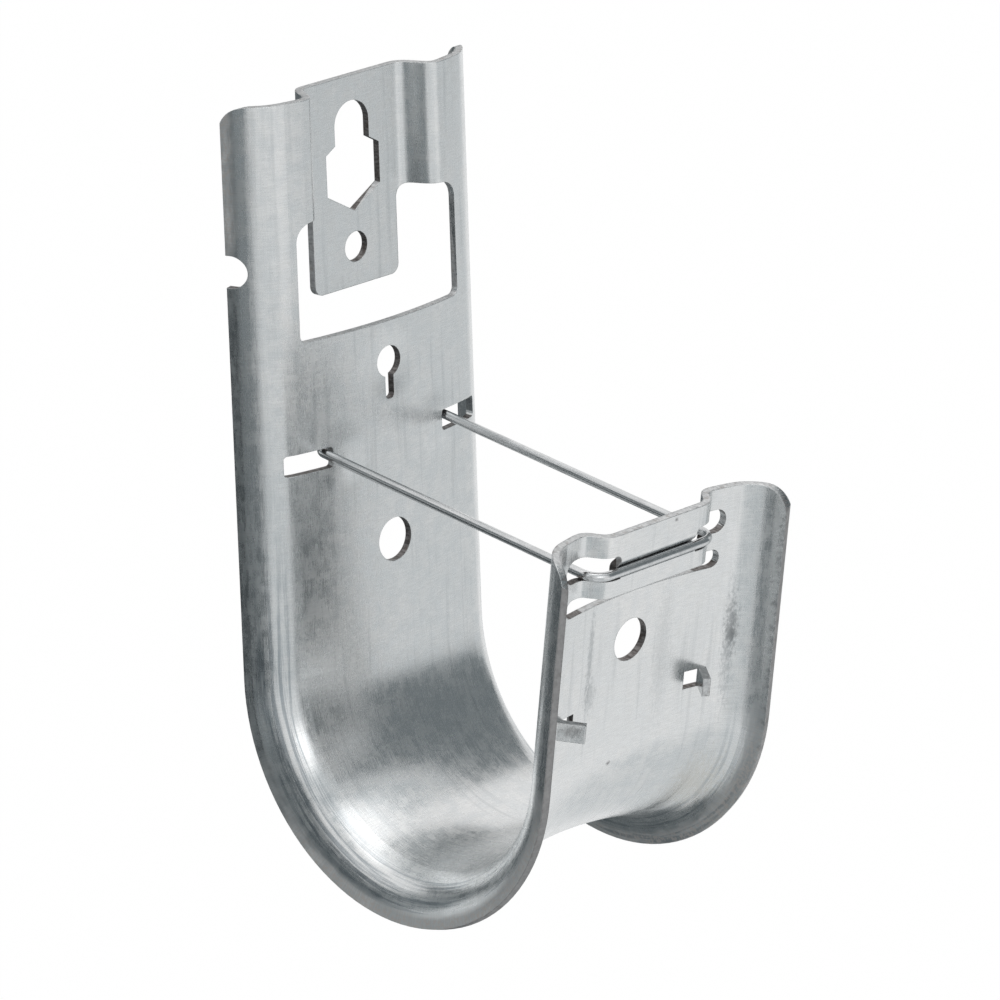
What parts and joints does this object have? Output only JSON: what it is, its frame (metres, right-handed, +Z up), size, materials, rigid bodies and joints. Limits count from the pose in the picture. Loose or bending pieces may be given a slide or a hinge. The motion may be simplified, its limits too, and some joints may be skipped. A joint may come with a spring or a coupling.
{
  "type": "cable j-hook",
  "caption": "Galvanised steel J-shaped cable hook with rolled edges, a slotted hanging tab and a swinging wire retainer across its mouth.",
  "frame": {"origin": "on the axis of the hanging screw, in the round top of the hexagon keyhole, where it meets the wall plane that the rolled edges rest on", "axes": "+Z up, +Y into the wall, +X to the right seen from the front; the hook opens upward and reaches out along -Y"},
  "size_m": [0.0508, 0.0714, 0.1267],
  "materials": {
    "galvanised_sheet": "galvanised, faintly brushed, scuffed",
    "spring_wire": "drawn zinc-coated wire"
  },
  "bodies": {
    "hook": {"hook_body": "galvanised_sheet"},
    "retainer": {"wire_retainer": "spring_wire"}
  },
  "joints": [
    {"name": "retainer_swing", "type": "hinge", "parent": "hook", "child": "retainer", "pos_m": [0, -0.06662, -0.05811], "axis": [1, 0, 0], "range_deg": [0, 30], "deforming": ["wire_retainer"]}
  ]
}
